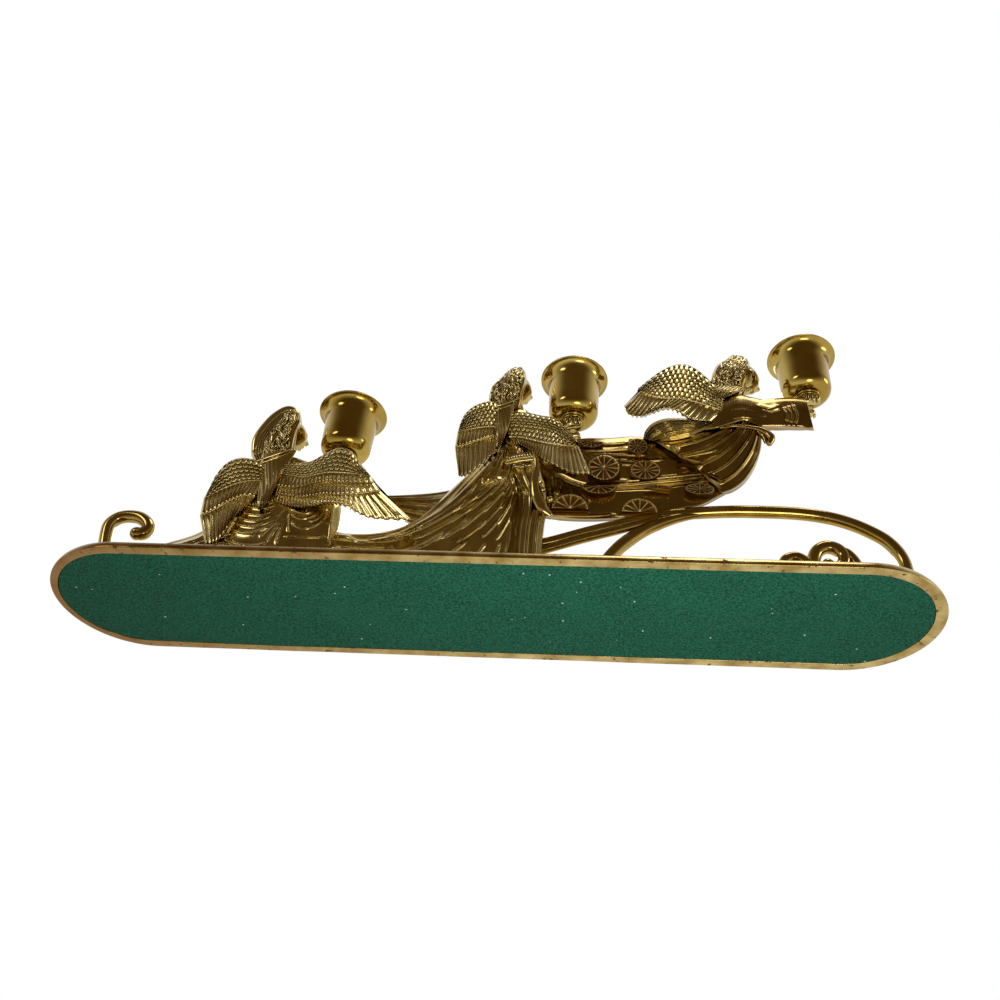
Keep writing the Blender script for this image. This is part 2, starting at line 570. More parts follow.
def onPlane(path, depth):
    # adds a depth to places across and up
    path = np.asarray(path, float)
    return np.stack([path[:, 0], np.full(len(path), depth), path[:, 1]], -1)


def scroll(name, node, paths, radii, bud=0.0, depth=0.0, count=120):
    # rods of the vine, the first one with a bud at its end, cut off level with the base's top
    parts = []
    for path, radius in zip(paths, radii):
        rod = rods(onPlane(vine[path], depth), vine[radius], 24, count)
        rod[..., 2] = np.maximum(rod[..., 2], plateTop)
        parts.append(rod)
    if bud:
        parts.append(balls(onPlane(vine[paths[0]], depth)[-1:], [bud], 20))
    addPiece(name, parts, rodBrass, "cast_brass", node)


scroll("vineArch", "vine_arch", ["arch"], ["archRadii"], count=260)
scroll("vineStem", "vine_stem", ["stem"], ["stemRadii"], depth=-0.4)
scroll("vineStrand", "vine_strand", ["strand"], ["strandRadii"], depth=-1.0)
scroll("largeCurl", "vine_large_curl", ["largeCurl", "leaf"], ["largeRadii", "leafRadii"], bud=2.6)
scroll("smallCurl", "vine_small_curl", ["smallCurl"], ["smallRadii"], bud=2.3)
scroll("hookScroll", "hook_scroll", ["hook"], ["hookRadii"], bud=3.3)
print("vine made")

# candle cups
cup = {
    "height": 31.0, "rim": 17.9, "lip": 1.3, "waist": 13.4, "flare": 23.5, "outer": 12.9, "bore": 11.2,
    "bottom": 6.0, "floor": 3.6, "collar": 3.2, "collarRadius": 6.8,
}
cupPlaces = {"lower": (-80.1, 124.1), "middle": (36.3, 153.5), "upper": (158.7, 173.3)}
flareHeight = cup["height"] - cup["lip"] - cup["flare"]
quarter = np.radians(np.linspace(0, 90, 13))
outside = np.stack([cup["rim"] - (cup["rim"] - cup["waist"]) * np.cos(quarter),
                    cup["flare"] + flareHeight * np.sin(quarter)], -1)
inside = outside - (2 * cup["lip"] - 0.2, 0)
inside[:, 0] = np.maximum(inside[:, 0], cup["bore"])
wall = np.stack([np.linspace(cup["outer"], cup["waist"], 8), np.linspace(cup["bottom"], cup["flare"], 8)], -1)
cupOutline = np.concatenate([
    [(0.3, 0), (cup["outer"] - cup["bottom"] - 0.2, 0)],
    arc((cup["outer"] - cup["bottom"], cup["bottom"]), cup["bottom"], -90, 0, 11), wall[1:-1], outside,
    arc((cup["rim"] - cup["lip"], cup["height"] - cup["lip"]), cup["lip"], 0, 180, 11)[1:], inside[::-1][1:],
    [(cup["bore"], cup["floor"] + 0.6), (cup["bore"] - 0.2, cup["floor"] + 0.1), (cup["bore"] - 0.7, cup["floor"]),
     (0.3, cup["floor"])]])
ringOutline = np.concatenate([
    [(0.3, 0), (4.4, 0)], arc((cup["collarRadius"] - 1.0, 0.75), 0.75, -90, 90, 9),
    arc((cup["collarRadius"] + 0.1, 1.6), 1.0, 215, 145, 5), arc((cup["collarRadius"] - 0.8, 2.4), 0.8, -90, 90, 9),
    [(4.4, cup["collar"]), (0.3, cup["collar"])]])
for name, (x, rimHeight) in cupPlaces.items():
    foot = rimHeight - cup["height"]
    addPiece(name + "Cup", [turned(cupOutline, x, foot)], turnedBrass, "turned_brass", name + "_cup")
    collar = turned(ringOutline, x, foot - cup["collar"])
    addPiece(name + "Collar", [collar], turnedBrass, "turned_brass", name + "_cup_collar")
print("cups made")

# heads and hair
headLook = {"deep": 9.0, "wide": 7.7, "tall": 9.8}
faceBumps = [
    # degrees: azimuth from straight ahead, height angle and the spread of each; millimetres: how far it stands out
    (0, -3, 10, 13, 0.9), (0, -11, 11, 9, 1.5), (0, 14, 26, 9, 0.5), (0, -46, 15, 12, 1.3), (0, -25, 15, 4, 0.55),
    (0, -31, 14, 3.5, 0.65), (24, 3, 11, 7, -0.85), (-24, 3, 11, 7, -0.85), (24, 2, 6.5, 4, 0.6), (-24, 2, 6.5, 4, 0.6),
    (24, 12, 12, 3, 0.35), (-24, 12, 12, 3, 0.35), (34, -16, 14, 12, 0.5), (-34, -16, 14, 12, 0.5),
    (7, -14, 4, 4, 0.4), (-7, -14, 4, 4, 0.4), (84, -6, 7, 12, 0.9), (-84, -6, 7, 12, 0.9), (0, -28, 13, 1.3, -0.4),
]


def headSkin(centre, pitch, yaw):
    # an egg whose radius changes with azimuth and height angle: soft bumps for brow, nose, lips, chin and ears,
    # hollows for the eyes with closed lids, and a jaw that narrows downwards
    rows, columns = 110, 128
    height = np.linspace(np.pi / 2 - 0.02, -np.pi / 2 + 0.02, rows)[:, None]
    around = np.linspace(-np.pi, np.pi, columns, endpoint=False)[None]
    out = np.zeros((rows, columns))
    for azimuth, level, wide, tall, stand in faceBumps:
        sideways, above = (np.degrees(around) - azimuth) / wide, (np.degrees(height) - level) / tall
        out = out + stand * np.exp(-sideways ** 2 - above ** 2)
    jaw = np.clip(-np.sin(height), 0, 1)
    forward = np.cos(height) * np.cos(around) * (headLook["deep"] * (1 - 0.1 * jaw) + out)
    across = np.cos(height) * np.sin(around) * (headLook["wide"] * (1 - 0.28 * jaw ** 1.3) + out)
    upward = np.sin(height) * (headLook["tall"] + 0.4 * out) + 0 * around
    tip, turn = np.radians(pitch), np.radians(yaw)
    lean = forward * np.cos(tip) - upward * np.sin(tip)
    rise = forward * np.sin(tip) + upward * np.cos(tip)
    return np.stack([centre[0] + lean * np.cos(turn) - across * np.sin(turn),
                     centre[1] + lean * np.sin(turn) + across * np.cos(turn), centre[2] + rise], -1)


heads = {
    "lower": {"centre": (-111.6, 1.0, 107.9), "pitch": 6, "yaw": 35,
              "neck": [(-113, 0, 100), (-111, -1, 93), (-109, -2, 86), (-107, -2, 78)]},
    "middle": {"centre": (4.8, 1.0, 145.8), "pitch": 10, "yaw": 35,
               "neck": [(4, 0, 138), (6, -1, 131), (7, -1, 124), (8, -1, 117)]},
    "upper": {"centre": (126.2, 1.0, 156.1), "pitch": -8, "yaw": 25,
              "neck": [(124, 0, 148), (122, -1, 141), (120, -1, 134), (119, -1, 128)]},
}
for name, head in heads.items():
    neck = rods([head["neck"]], [3.9, 3.6, 4.0, 6.0], 28, 30)
    skull = headSkin(head["centre"], head["pitch"], head["yaw"])
    addPiece(name + "Head", [skull, neck], castBrass, "cast_brass", name + "_head")
print("heads made")

# the crown is the hair round the skull and the tail hangs from it; both are cast like cloth
crownLook = {"middle": [-5, -3.5, -2.5, -2, -2.5, -3, -3.5], "relief": 0.9, "power": 0.75}
hairs = {
    "lower": {
        "crown": {
            "left": [(-126, 88), (-129, 94), (-129.6, 103), (-127.5, 112), (-123.5, 121), (-119, 126.5),
                     (-115.5, 128.3)],
            "right": [(-106, 89), (-106.5, 95), (-107, 103), (-107.5, 111), (-107.2, 118), (-109.5, 125),
                      (-113.5, 128.2)],
            "half": [3, 7, 8.6, 8.8, 8, 6, 1.5], "folds": 15, "drift": 0.25, "grid": (90, 150)},
        "tail": {
            "left": [(-124, 95), (-122.5, 88), (-121, 80), (-120, 70), (-118.5, 61), (-116.8, 56)],
            "right": [(-105, 97), (-107, 88), (-109.5, 79), (-111, 70), (-113, 62), (-115.2, 56)],
            "middle": [-7.8, -8.4, -9.4, -10.5, -11.5, -12.3], "half": [3.4, 3.8, 4, 3.4, 2.6, 0.8],
            "folds": [0, 0.14, 0.3, 0.42, 0.6, 0.74, 0.88, 1], "relief": 0.6, "drift": 0.9, "phase": 1.0,
            "fade": (0.1, 1.2), "grid": (100, 130)},
        "curls": {"rows": (0.16, 0.84), "columns": (0.24, 0.52), "count": 40, "seed": 3, "size": 0.62},
        # the smooth roll round the outside of the head: its places and depths
        "roll": ([(-127.5, 95), (-128.3, 103), (-126, 112), (-122, 120.5), (-116.5, 126), (-111.5, 124), (-109, 117)],
                 [-6, -6.5, -7, -7, -7, -7, -6.5]),
        "napes": [([(-127, 87.5), (-122, 90), (-117, 92.8), (-112, 95.5), (-107.5, 98.5)], 0.7),
                  ([(-124, 86), (-119, 89), (-114, 91.8), (-109.5, 94.5)], 0.5)],
    },
    "middle": {
        "crown": {
            "left": [(-5, 128), (-8.5, 134), (-9, 141), (-7, 148), (-3.5, 155), (1.5, 160.3), (5.5, 163)],
            "right": [(8, 131), (9, 136), (9.5, 143), (10.5, 149), (10.3, 155), (9, 160), (7, 163)],
            "half": [3, 7, 8.6, 8.8, 7.6, 5.2, 1.2], "folds": 13, "drift": 0.3, "grid": (90, 140)},
        "tail": {
            "left": [(-7, 134), (-6, 126), (-5, 118), (-4, 111), (-3, 105), (-2.4, 101)],
            "right": [(5, 134), (4.6, 126), (3.6, 118), (2, 111), (0, 105), (-1.4, 101)],
            "middle": [-8.4, -9, -9.6, -10.4, -11.5, -12], "half": [3.4, 3.6, 3.6, 3.0, 2.2, 0.8],
            "folds": [0, 0.15, 0.33, 0.47, 0.66, 0.82, 1], "relief": 0.6, "drift": 0.9, "phase": 0.4,
            "fade": (0.1, 1.2), "grid": (100, 120)},
        "curls": {"rows": (0.08, 0.9), "columns": (0.06, 0.54), "count": 80, "seed": 5, "size": 0.62},
        "napes": [([(-8, 131), (-4, 132.3), (0, 134), (4, 136.5), (7.5, 139)], 0.7),
                  ([(-6, 128.5), (-2, 130.3), (2, 132.5), (6, 135)], 0.5)],
    },
    "upper": {
        "crown": {
            "left": [(109, 147), (109.3, 153), (110.5, 160), (113.5, 167), (117.5, 170.5), (121.5, 174),
                     (124.8, 175.2)],
            "right": [(124, 143), (126.5, 148), (128.5, 154), (130, 160), (131, 166), (130.3, 171.5), (127.5, 174.6)],
            "half": [3, 7, 8.6, 8.8, 7.6, 5.2, 1.2], "folds": 13, "drift": 0.35, "grid": (90, 140)},
        "tail": {
            "left": [(110, 152), (108, 147), (107.5, 142), (108, 138)],
            "right": [(127, 150), (123.5, 146), (118, 142.5), (112, 139.5)],
            "middle": [-8, -8.5, -9, -9.5], "half": [3, 3.6, 3, 1.2],
            "folds": 9, "relief": 0.9, "drift": 0.4, "grid": (60, 100)},
        "curls": {"rows": (0.08, 0.86), "columns": (0.06, 0.54), "count": 80, "seed": 9, "size": 0.65},
        "napes": [([(110, 148), (114, 147), (119, 146), (124, 146.5)], 0.7)],
    },
}


def curls(skin, look):
    # small wavy locks that lie on the hair: each follows the skin for a short way, swinging across it
    rng = np.random.default_rng(look["seed"])
    rows, columns = skin.shape[:2]
    count = look["count"]
    row = rng.uniform(*look["rows"], count)[:, None] * (rows - 1)
    column = rng.uniform(*look["columns"], count)[:, None] * columns
    way = np.linspace(-0.5, 0.5, 7)[None]
    swing = np.sin(way * rng.uniform(5, 9, (count, 1)) + rng.uniform(0, 6, (count, 1)))
    row = np.clip(row + way * rng.uniform(10, 22, (count, 1)), 1, rows - 2).astype(int)
    column = column + swing * rng.uniform(1.5, 4, (count, 1)) + way * rng.uniform(-9, 9, (count, 1))
    column = column.astype(int) % columns
    path = skin[row, column]
    outward = path - skin[row].mean(2)
    outward /= np.linalg.norm(outward, axis=-1, keepdims=True)
    return rods(path + outward * 0.35, [look["size"] * part for part in (0.5, 1.0, 1.0, 0.5)], 8, 14)


for name, hair in hairs.items():
    crown = cloth(dict(crownLook, **hair["crown"]))
    parts = [crown, cloth(hair["tail"]), curls(crown, hair["curls"])]
    if "roll" in hair:
        parts.append(cord(*hair["roll"], [1.6, 2.3, 2.4, 2.2, 1.2], 16, 60))
    for nape, size in hair["napes"]:
        parts.append(cord(nape, -11.9, [0.3 * size, size, size, 0.3 * size], 10, 40))
    addPiece(name + "Hair", parts, wingBrass, "cast_brass", name + "_hair")
print("hair made")

# arms and hands
arms = {
    "lowerNearArm": ("lower_near_arm", "lower", -1, [(-104.1, -4, 82.9), (-93.1, -4.5, 79.4), (-84.5, -4, 84.5)]),
    "lowerFarArm": ("lower_far_arm", "lower", 1, [(-104.1, 8, 84.9), (-93.1, 9, 79.9), (-84.5, 5.5, 84.5)]),
    "middleNearArm": ("middle_near_arm", "middle", -1, [(12.3, -4, 118.3), (23.3, -4.5, 111.3), (32, -4, 114)]),
    "middleFarArm": ("middle_far_arm", "middle", 1, [(12.3, 7, 120.3), (23.3, 8.5, 111.3), (32, 5.5, 114)]),
    "upperNearArm": ("upper_near_arm", "upper", -1, [(128.7, -5, 129.1), (143.7, -5, 131.1), (154, -5, 134.5)]),
    "upperFarArm": ("upper_far_arm", "upper", 1, [(122.7, 6, 129.1), (140.7, 6, 132.1), (154, 5, 134.5)]),
}


def hand(x, seat, side):
    # a palm under the collar and four fingers and a thumb that close round it
    palm = [[(x - 5, side * 4.2, seat - 5.2), (x - 1.5, side * 4.6, seat - 4.2), (x + 2, side * 4.2, seat - 4)]]
    thumb = [[(x - 4.2, side * 4, seat - 4.4), (x - 6.2, side * 3.6, seat - 2.6), (x - 6.8, side * 2.2, seat - 0.4)]]
    start = np.linspace(-3.2, 3.2, 4)
    # the joints of the fingers: their spread, how far out and how far below the seat they are
    joints = ((1.0, 4.8, 5.2), (1.05, 6.2, 4.6), (1.0, 6.9, 3.2), (0.9, 6.6, 2.0))
    fingers = np.stack([np.stack(np.broadcast_arrays(x + start * spread, side * out, seat - below), -1)
                        for spread, out, below in joints], 1)
    return [rods(palm, [2.2, 2.6, 2.0], 16, 14), rods(fingers, [1.15, 1.1, 1.0, 0.85], 10, 12),
            rods(thumb, [1.3, 1.15, 1.0], 10, 12)]


for name, (node, owner, side, path) in arms.items():
    x, rimHeight = cupPlaces[owner]
    seat = rimHeight - cup["height"] - cup["collar"]
    limb = rods([path], [3.8, 3.5, 2.7], 24, 30)
    addPiece(name, [limb] + hand(x, seat, side), castBrass, "cast_brass", node)
print("arms made")

# wings
wings = {
    "lowerLeftWing": {
        "node": "lower_left_wing", "depth": [-13.0, -13.2, -12.8, -12.2, -11.5, -10.8, -10.2],
        "lines": [
            [(-144.8, 69), (-143.6, 78), (-140.2, 86.5), (-134.5, 90.4), (-128, 90), (-121.5, 87), (-117, 82)],
            [(-145.8, 62), (-142, 65.5), (-137.5, 69), (-133, 71.8), (-128, 74), (-123, 75), (-117.5, 75)],
            [(-144.8, 51), (-141, 53.5), (-137, 57), (-133.5, 60.3), (-130, 63), (-126, 65), (-119.5, 65)],
            [(-137.8, 33.5), (-135, 33.5), (-132.5, 35), (-130.5, 39), (-129, 45), (-127.5, 51), (-124, 57)]],
        "bands": [(6, 13), (1, 14), (1, 11)]},
    "lowerRightWing": {
        "node": "lower_right_wing", "depth": [-9.5, -11, -12.5, -14, -15.2, -15.9, -16.3, -16.5],
        "lines": [
            [(-111, 87.5), (-104, 88), (-97, 89), (-91, 94), (-84, 99.3), (-77, 97), (-71.3, 89), (-65.5, 81.5)],
            [(-111, 80), (-104, 79), (-98, 78), (-92, 80), (-86, 81.5), (-79, 81.5), (-72, 81), (-64, 79.5)],
            [(-111, 72), (-105, 71), (-98, 72), (-92, 74.5), (-86, 76), (-79, 75.5), (-72, 75.5), (-62, 75.5)],
            [(-111, 67), (-105, 66), (-98, 65), (-92, 65.5), (-86, 67), (-79, 67), (-70, 68), (-58, 70)],
            [(-111, 62), (-104, 59.5), (-97, 58), (-90, 59), (-83, 61), (-74, 60), (-61, 52.5), (-39.8, 51.5)]],
        "bands": [(6, 18), (1, 24), (1, 26), (1, 30)], "columns": 390},
    "middleLeftWing": {
        "node": "middle_left_wing", "depth": [-13, -12.8, -12.2, -11.5, -10.8, -10],
        "lines": [
            [(-22.8, 117.5), (-21, 125), (-17.3, 130.8), (-12.5, 134.3), (-7, 135.5), (-1, 131)],
            [(-23.4, 112), (-20, 113.3), (-16, 114.6), (-11.5, 115.6), (-7, 116.2), (-1, 116)],
            [(-23.8, 101.5), (-20, 102.5), (-16, 104.3), (-11.5, 106.6), (-7.5, 108.8), (-1.5, 110)],
            [(-20.3, 81), (-18, 80.8), (-14.5, 83), (-10.5, 87.5), (-6.5, 93), (-1.5, 99)]],
        "bands": [(7, 11), (1, 12), (1, 9)]},
    "middleRightWing": {
        "node": "middle_right_wing", "depth": [-9.5, -10.5, -11.5, -12.5, -14, -15, -15, -14],
        "lines": [
            [(2, 127), (8, 128), (14, 127), (20, 125.3), (26, 124), (31, 119.3), (35.8, 112), (39, 106.5)],
            [(2, 118), (8, 118), (14, 117.5), (20, 116.5), (25, 115), (29.5, 112.5), (34, 109), (38, 105.5)],
            [(3, 109), (8, 109), (13, 108), (18, 106.5), (23, 105.3), (28, 104.5), (34, 103.7), (39.5, 103.5)],
            [(5, 105), (9, 104), (13, 101.5), (17, 98.5), (21, 94.5), (28, 89.5), (37, 84.5), (46.5, 84)]],
        "bands": [(5, 15), (3, 17), (1, 24)], "columns": 300, "scallop": 0.04},
    "upperNearWing": {
        "node": "upper_near_wing", "depth": [-12, -12.5, -12.8, -12.6, -12, -11.2, -10.3, -9.5],
        "lines": [
            [(70.5, 147.5), (76, 154), (83, 161.5), (90, 166.3), (96.5, 167.2), (102.5, 163), (109, 154.5),
             (116.5, 145)],
            [(71.5, 145.5), (75, 143.5), (80, 140.8), (86, 139.8), (92, 139.8), (98, 138.2), (105, 135.5), (114, 131)],
            [(62.8, 133.5), (65, 127), (71, 125.7), (77, 128.8), (83.5, 132.3), (90, 130.3), (97.5, 124), (108, 123)]],
        "bands": [(8, 16), (1, 19)], "columns": 300, "scallop": 0.015},
    "upperFarWing": {
        "node": "upper_far_wing", "depth": [9.5, 9.8, 10, 9.8, 9.2, 8.4, 7.5, 6.5],
        "lines": [
            [(72.5, 147.3), (77.5, 153.2), (84, 160.3), (90.5, 164.8), (96.5, 165.6), (101.5, 161.7), (106.8, 153.5),
             (111.5, 146)],
            [(73.5, 145), (76.5, 143.3), (81, 141), (86.5, 140), (92, 140), (98, 138.4), (104, 136), (110.5, 132.5)],
            [(65, 134), (67.3, 128.7), (72, 127.4), (77.6, 130), (83.5, 133.6), (90, 131.6), (97, 126), (105, 126)]],
        "bands": [(8, 16), (1, 19)], "scallop": 0.015},
}
for name, look in wings.items():
    addPiece(name, [wing(look)], wingBrass, "cast_brass", look["node"])
print("wings made")

# gowns, trains and mantles
robes = ("upperGown", "upperMantle", "upperSleeve")
# lines are crests: height, width and places; beads: places, count and radius; cords: places, radii and depth
cloths = {
    "lowerGown": {
        "node": "lower_gown", "floor": plateTop, "grid": (240, 270),
        "left": [(-117, 93), (-121, 84), (-124, 74), (-127, 64), (-130, 52), (-133, 42), (-136, 30), (-138, 5)],
        "right": [(-101, 90), (-95, 84), (-88, 76), (-82, 67), (-76, 60), (-74.6, 48), (-75, 36), (-75.8, 5)],
        "middle": [-1, -1, -1.5, -2, -2, -2, -2, -2], "half": [5.5, 8, 8, 8.5, 9, 9.5, 9.5, 9.5],
        "folds": 3, "relief": 0.1,
        "lines": [
            (0.6, 0.45, (-127, 62), (-122.5, 58.4), (-117, 56.8), (-112, 57.6), (-107, 60.5)),
            (0.6, 0.5, (-127.5, 58.6), (-124, 54.8), (-119, 52.9), (-113, 53.4), (-107, 56.8)),
            (0.65, 0.5, (-128, 54.8), (-124.5, 51), (-119.5, 49.1), (-113.5, 49.8), (-106, 54.5)),
            (0.7, 0.55, (-129, 50.6), (-125.5, 47), (-120, 45.4), (-114, 45.9), (-108, 49.6), (-104, 54)),
            (0.9, 0.8, (-130, 46), (-126, 42.8), (-121, 41.2), (-116, 41.6), (-111, 43.8), (-106, 48), (-102.8, 53)),
            (0.95, 0.6, (-102.5, 57.5), (-106, 49), (-109.5, 43), (-112, 38.5)),
            (0.95, 0.6, (-102, 57), (-104.6, 47), (-106.5, 40), (-107.4, 35)),
            (0.95, 0.6, (-101.5, 56.5), (-102.5, 48), (-103, 40), (-103, 34)),
            (1.1, 0.5, (-101, 56), (-99.5, 48), (-98.5, 42)),
            (0.85, 0.5, (-100.5, 57.5), (-97, 55.3), (-93, 54.4), (-89.5, 55.2)),
            (0.85, 0.5, (-100.3, 54.5), (-97, 51.8), (-94, 50.9), (-90.5, 51.8), (-86, 55)),
            (1.1, 0.8, (-99.5, 50.5), (-96.5, 46.8), (-92.5, 45.2), (-88.5, 45.8), (-84.5, 49.3), (-81, 56.5)),
            (1.0, 0.5, (-90, 49), (-87, 50.5), (-84, 54), (-82.5, 57.5)),
            (1.4, 0.6, (-79.6, 60), (-79.2, 52), (-78.4, 44), (-78, 36)),
            (1.0, 0.5, (-101, 39.6), (-94, 39.2), (-86, 39.6), (-79, 40.4)),
            (1.1, 0.7, (-131, 39), (-126, 35.5), (-120, 33.5), (-113, 33.5), (-106, 36)),
            (0.9, 0.7, (-132, 32), (-126, 29), (-118, 27.5), (-108, 28.5)),
        ],
        "beads": [((-79.6, 59), (-79.2, 52), (-78.4, 44), (-78, 37), 17, 0.75),
                  ((-127, 62), (-122.5, 59.6), (-117.5, 60), (-111, 62), 11, 0.7)]},
    "lowerTrain": {
        "node": "lower_train", "floor": plateTop, "grid": (110, 120),
        "left": [(-169, 8), (-168, 19), (-163.5, 28.5), (-157, 33.3), (-149.5, 36.5), (-143.5, 39.8), (-138.5, 44),
                 (-132, 49), (-124, 52)],
        "right": [(-169, 5), (-167.5, 5), (-163, 5), (-157, 5), (-150, 5), (-144, 5), (-139, 5), (-132, 5), (-124, 5)],
        "middle": [-1, -1, -1, -1, -1, -1.5, -2, -2, -2], "half": [1.5, 4, 5.5, 7, 7.5, 8, 8, 8, 7],
        "folds": [0, 0.1, 0.2, 0.31, 0.43, 0.56, 0.7, 0.85, 1], "relief": 1.6, "drift": 0.2},
    "middleGown": {
        "node": "middle_gown", "floor": plateTop, "grid": (170, 220), "power": 0.5,
        "left": [(-1, 131), (-4, 122), (-5, 112), (-3, 102), (0, 92), (4, 82), (8, 72), (9, 60), (8, 46), (8, 30),
                 (8, 5)],
        "right": [(12, 129), (17, 121), (19, 111), (20, 101), (20.8, 92), (22, 83), (24.3, 74), (25, 64), (24.3, 52),
                  (23.8, 38), (23.8, 5)],
        "middle": [-1], "half": [5, 8, 8, 7.5, 7.5, 8, 8, 7, 6.5, 6.5, 6.5],
        "folds": [0, 0.28, 0.52, 0.76, 1], "relief": 1.1, "fade": (0.1, 1.4), "sharp": 1.6,
        "lines": [
            (1.4, 0.8, (2, 105), (5, 98), (4, 92), (1, 88)), (1.4, 0.8, (3.2, 106), (8.5, 103.5), (11, 98)),
            (1.3, 0.8, (-5, 96), (0, 90), (3, 88.5)), (1.3, 0.9, (6, 89.5), (11, 89), (18, 91)),
            (1.2, 0.7, (18.5, 100), (19.5, 90), (19, 80), (20, 70)), (1.6, 0.8, (11, 75), (14, 71.5), (18, 71)),
            (1.5, 0.9, (19, 75), (22, 77), (24, 76)),
        ]},
    "middleTrain": {
        "node": "middle_train", "floor": plateTop, "grid": (290, 280), "power": 0.55,
        "left": [(-1, 106), (-6.5, 96), (-13, 86), (-19.5, 77), (-25, 69), (-31, 60), (-38, 52), (-47, 46), (-58, 43),
                 (-68, 42.5), (-77, 43.5)],
        "right": [(4, 104), (8, 93), (10, 82), (11, 71), (11.5, 60), (12, 48), (12, 34), (11, 18), (4, 5), (-38, 5),
                  (-77, 5)],
        "middle": [-2.5, -2.5, -2, -2, -1.5, -1, -1, -1, -1, -1, -1], "half": [5, 7, 8, 8, 8, 8, 8.5, 8.5, 8, 7.5, 7],
        "folds": [0, 0.13, 0.31, 0.44, 0.6, 0.78, 0.9, 1], "relief": 0.6, "drift": 0.12,
        "lines": [
            (1.6, 0.75, (-4, 103), (-9, 93), (-15, 83), (-21, 73), (-28, 63), (-36, 54), (-44, 47), (-52, 43)),
            (1.4, 0.6, (0, 100), (-4, 92), (-9, 84), (-15, 74), (-21, 65), (-28, 57), (-36, 50), (-45, 43),
             (-56, 39)),
            (1.8, 0.7, (-10, 77), (-16, 68), (-24, 58), (-33, 50), (-42, 44), (-52, 40), (-62, 38)),
            (1.3, 0.55, (-1, 79), (-8, 71), (-16, 63), (-25, 55), (-35, 48), (-46, 42)),
            (1.7, 0.75, (1, 80), (-6, 72), (-13, 65), (-22, 57), (-32, 49), (-43, 42), (-58, 37)),
            (1.5, 0.6, (5, 82), (0, 75), (-6, 67), (-13, 59), (-22, 51), (-31, 44), (-40, 39)),
            (1.8, 0.8, (7, 80), (3, 72), (-3, 63), (-10, 54), (-18, 46), (-26, 40)),
            (1.4, 0.6, (8, 76), (5, 68), (1, 60), (-5, 51), (-12, 43), (-18, 38)),
            (1.7, 0.75, (9, 73), (7, 65), (4, 57), (-1, 48), (-6, 41)),
            (1.3, 0.6, (10, 70), (9, 62), (7, 54), (4, 46), (1, 40)),
            (1.5, 0.8, (-22, 45), (-30, 38), (-38, 33), (-48, 29), (-60, 27)),
            (1.5, 0.8, (-10, 42), (-18, 33), (-28, 26), (-42, 21), (-56, 19)),
            (1.5, 0.8, (-2, 40), (-8, 30), (-18, 20), (-30, 13)), (1.5, 0.8, (4, 40), (1, 30), (-5, 19), (-13, 10)),
            (1.4, 0.8, (8.5, 52), (8, 40), (6, 28), (2, 16), (-2, 8)),
            (1.8, 0.8, (-9, 79.5), (-5, 78), (-1.5, 79.5), (2, 80), (5.5, 82.5)),
            (1.2, 0.7, (6, 82.5), (9, 76), (10, 70)), (1.6, 0.9, (-76, 41), (-70, 41), (-64, 38), (-58, 38.5)),
            (1.3, 0.9, (-76, 34), (-68, 33), (-60, 32), (-50, 34)),
        ]},
    "middleCloak": {
        "node": "middle_cloak", "grid": (90, 90), "power": 0.5,
        "left": [(-58.5, 67), (-50, 67.3), (-40, 68.3), (-30, 69.8), (-20, 72.5)],
        "right": [(-55, 58), (-47, 53), (-38, 49), (-28, 48), (-18, 56)],
        "middle": [5, 5, 5, 4, 2], "half": [1.2, 1.5, 1.7, 1.9, 2],
        "folds": [0, 0.12, 0.34, 0.6, 0.82, 1], "relief": 1.2, "drift": 0.2},
    "upperGown": {
        "node": "upper_gown", "grid": (170, 240), "power": 0.5,
        "left": [(124, 136), (120, 128), (113, 122), (105, 118), (96, 114.5), (86, 112), (75, 110)],
        "right": [(133, 122), (132.3, 113), (130.8, 103), (127, 92), (121.5, 82.5), (115.5, 76.5), (109.5, 73.5)],
        "middle": [-2], "half": [6.5, 8, 8, 7.5, 7, 6, 4.5],
        "folds": [0, 0.16, 0.33, 0.5, 0.66, 0.83, 1], "relief": 1.7, "drift": 0.08, "sharp": 2.2,
        "short": ([0, 0.06, 0.13, 0.2, 0.27, 0.34, 0.42, 0.5, 0.57, 0.64, 0.72, 0.8, 0.88, 0.95, 1],
                  [0.02, 0.02, 0.05, 0.14, 0.1, 0.04, 0.1, 0.17, 0.16, 0.06, 0.15, 0.19, 0.09, 0.04, 0.0]),
        "lines": [
            (1.2, 0.7, (104, 115.5), (97, 112.5), (88, 112.5), (80, 110.5)),
            (1.0, 0.6, (110, 103), (102, 100.5), (95, 100.3)),
        ],
        "cords": [
            ([(112, 118.5), (119, 120), (126, 119.3), (131.5, 117.8), (135, 115), (136.8, 111.5), (135.6, 108)],
             [0.6, 0.9, 1.1, 1.7, 2.2, 1.5], -9.5),
            ([(131, 116), (133.4, 112.5), (133.8, 109)], [1.2, 1.5, 1.0], -9.0)]},
    "upperMantle": {
        "node": "upper_mantle", "grid": (170, 240), "power": 0.35,
        "left": [(14, 100), (30, 106.5), (43, 109.3), (54, 109.6), (65, 111), (76, 110.5), (88, 109), (100, 104),
                 (110, 95)],
        "right": [(17, 57), (33, 55), (46, 54.8), (57, 55.8), (68, 57.8), (79, 60.4), (90, 63), (99.5, 65.8),
                  (111, 73.6)],
        "middle": [0.5], "half": [3.6, 3.8, 3.8, 3.8, 3.8, 3.8, 3.8, 3.6, 3.2],
        "folds": 3, "relief": 0.2,
        "lines": [
            (1.2, 1.2, (40, 106.5), (50, 106), (58, 106.3), (66, 107.5)),
            (1.3, 1.1, (38, 101), (48, 101), (56, 101.5), (64, 102.5), (75, 103)),
            (1.2, 0.9, (44, 99), (54, 98.6), (64, 98.2), (76, 98.5)),
